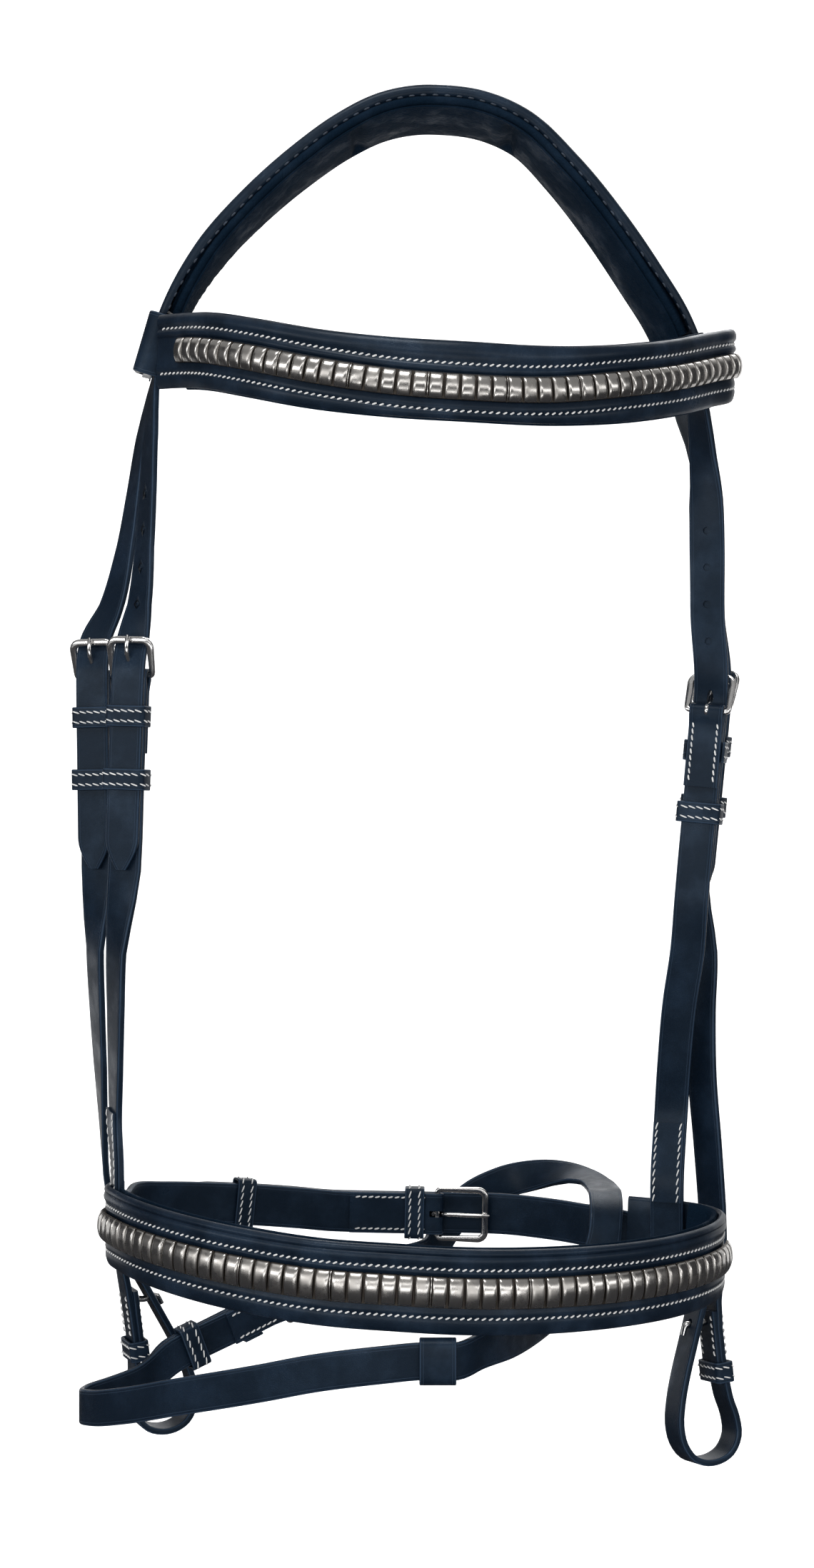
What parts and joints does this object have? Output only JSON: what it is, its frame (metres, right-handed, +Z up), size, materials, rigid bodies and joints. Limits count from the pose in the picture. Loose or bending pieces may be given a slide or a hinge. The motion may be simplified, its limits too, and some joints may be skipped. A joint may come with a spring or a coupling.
{
  "type": "horse bridle",
  "caption": "English leather bridle with padded crown, metal-beaded browband and noseband, buckled cheek straps, chin strap, flash strap and looped bit billets.",
  "frame": {"origin": "middle of the padded crown's underside, where it rests behind the ears or over a hook", "axes": "+Z up along the hanging bridle, +X to the right of someone who faces the horse, +Y from the face towards the neck"},
  "size_m": [0.2472, 0.176, 0.5025],
  "materials": {
    "strap_leather": "smooth navy bridle leather with polished edges",
    "small_leather": "stitched navy keepers, loops and runners",
    "soft_lining": "soft padded navy leather, lightly creased",
    "buckle_steel": "polished stainless wire",
    "clincher_nickel": "bright nickel half-barrel beads"
  },
  "bodies": {
    "headpiece": {"crown_strap": "strap_leather", "crown_lining": "soft_lining", "left_cheek_point": "strap_leather", "left_noseband_point": "strap_leather", "left_cheekpiece": "strap_leather", "left_billet_safe": "small_leather", "left_billet_keeper": "small_leather", "left_hook_stud": "buckle_steel", "left_browband_loop": "small_leather", "left_cheek_keeper": "small_leather", "left_noseband_keeper": "small_leather", "right_cheek_point": "strap_leather", "right_noseband_point": "strap_leather", "right_cheekpiece": "strap_leather", "right_billet_safe": "small_leather", "right_billet_keeper": "small_leather", "right_hook_stud": "buckle_steel", "right_browband_loop": "small_leather", "right_cheek_keeper": "small_leather", "right_noseband_keeper": "small_leather", "browband_strap": "strap_leather", "browband_lining": "soft_lining", "browband_clincher": "clincher_nickel", "noseband_strap": "strap_leather", "noseband_lining": "soft_lining", "noseband_clincher": "clincher_nickel", "left_hanger": "strap_leather", "right_hanger": "strap_leather", "chin_buckle_strap": "strap_leather", "chin_point_strap": "strap_leather", "chin_keeper": "small_leather", "chin_far_keeper": "small_leather", "flash_strap": "strap_leather", "flash_keeper": "small_leather", "flash_loop": "small_leather"},
    "left_cheek_frame": {"left_cheek_buckle": "buckle_steel"},
    "left_cheek_prong": {"left_cheek_tongue": "buckle_steel"},
    "left_cheek_slider": {"left_cheek_runner": "small_leather"},
    "left_noseband_frame": {"left_noseband_buckle": "buckle_steel"},
    "left_noseband_prong": {"left_noseband_tongue": "buckle_steel"},
    "left_noseband_slider": {"left_noseband_runner": "small_leather"},
    "right_cheek_frame": {"right_cheek_buckle": "buckle_steel"},
    "right_cheek_prong": {"right_cheek_tongue": "buckle_steel"},
    "right_cheek_slider": {"right_cheek_runner": "small_leather"},
    "right_noseband_frame": {"right_noseband_buckle": "buckle_steel"},
    "right_noseband_prong": {"right_noseband_tongue": "buckle_steel"},
    "right_noseband_slider": {"right_noseband_runner": "small_leather"},
    "flash_frame": {"flash_buckle": "buckle_steel"},
    "flash_prong": {"flash_tongue": "buckle_steel"},
    "flash_slider": {"flash_runner": "small_leather"},
    "chin_frame": {"chin_buckle": "buckle_steel"},
    "chin_prong": {"chin_tongue": "buckle_steel"}
  },
  "joints": [
    {"name": "left_cheek_frame_hinge", "type": "hinge", "parent": "headpiece", "child": "left_cheek_frame", "pos_m": [-0.12145, 0.00502, -0.20068], "axis": [0.9403, -0.3402, 0.0113], "range_deg": [0, 12]},
    {"name": "left_cheek_tongue_hinge", "type": "hinge", "parent": "left_cheek_frame", "child": "left_cheek_prong", "pos_m": [-0.12145, 0.00502, -0.20068], "axis": [0.9403, -0.3402, 0.0113], "range_deg": [0, 10]},
    {"name": "left_cheek_runner_slide", "type": "slide", "parent": "headpiece", "child": "left_cheek_slider", "axis": [0.012, 0, -0.9999], "range_m": [-0.004, 0.02]},
    {"name": "left_noseband_frame_hinge", "type": "hinge", "parent": "headpiece", "child": "left_noseband_frame", "pos_m": [-0.10649, -0.013, -0.20068], "axis": [0.9397, -0.3403, -0.0329], "range_deg": [0, 12]},
    {"name": "left_noseband_tongue_hinge", "type": "hinge", "parent": "left_noseband_frame", "child": "left_noseband_prong", "pos_m": [-0.10649, -0.013, -0.20068], "axis": [0.9397, -0.3403, -0.0329], "range_deg": [0, 10]},
    {"name": "left_noseband_runner_slide", "type": "slide", "parent": "headpiece", "child": "left_noseband_slider", "axis": [-0.035, 0, -0.9994], "range_m": [-0.004, 0.02]},
    {"name": "right_cheek_frame_hinge", "type": "hinge", "parent": "headpiece", "child": "right_cheek_frame", "pos_m": [0.10533, 0.02465, -0.21048], "axis": [-0.8616, 0.5001, 0.0862], "range_deg": [0, 12]},
    {"name": "right_cheek_tongue_hinge", "type": "hinge", "parent": "right_cheek_frame", "child": "right_cheek_prong", "pos_m": [0.10533, 0.02465, -0.21048], "axis": [-0.8616, 0.5001, 0.0862], "range_deg": [0, 10]},
    {"name": "right_cheek_runner_slide", "type": "slide", "parent": "headpiece", "child": "right_cheek_slider", "axis": [-0.0995, 0, -0.995], "range_m": [-0.004, 0.02]},
    {"name": "right_noseband_frame_hinge", "type": "hinge", "parent": "headpiece", "child": "right_noseband_frame", "pos_m": [0.10208, 0.00604, -0.21293], "axis": [-0.9362, 0.3414, 0.0843], "range_deg": [0, 12]},
    {"name": "right_noseband_tongue_hinge", "type": "hinge", "parent": "right_noseband_frame", "child": "right_noseband_prong", "pos_m": [0.10208, 0.00604, -0.21293], "axis": [-0.9362, 0.3414, 0.0843], "range_deg": [0, 10]},
    {"name": "right_noseband_runner_slide", "type": "slide", "parent": "headpiece", "child": "right_noseband_slider", "axis": [-0.0896, 0, -0.996], "range_m": [-0.004, 0.02]},
    {"name": "flash_frame_hinge", "type": "hinge", "parent": "headpiece", "child": "flash_frame", "pos_m": [-0.05498, 0.03298, -0.4349], "axis": [-0.3276, -0.1512, 0.9327], "range_deg": [0, 12]},
    {"name": "flash_tongue_hinge", "type": "hinge", "parent": "flash_frame", "child": "flash_prong", "pos_m": [-0.05498, 0.03298, -0.4349], "axis": [-0.3276, -0.1512, 0.9327], "range_deg": [0, 10]},
    {"name": "flash_runner_slide", "type": "slide", "parent": "headpiece", "child": "flash_slider", "axis": [-0.8468, -0.3908, -0.3608], "range_m": [-0.008, 0.003]},
    {"name": "chin_frame_hinge", "type": "hinge", "parent": "headpiece", "child": "chin_frame", "pos_m": [0.00371, 0.07004, -0.40721], "axis": [-0.02, 0, -0.9998], "range_deg": [0, 60]},
    {"name": "chin_tongue_hinge", "type": "hinge", "parent": "chin_frame", "child": "chin_prong", "pos_m": [0.00371, 0.07004, -0.40721], "axis": [-0.02, 0, -0.9998], "range_deg": [0, 40]}
  ]
}
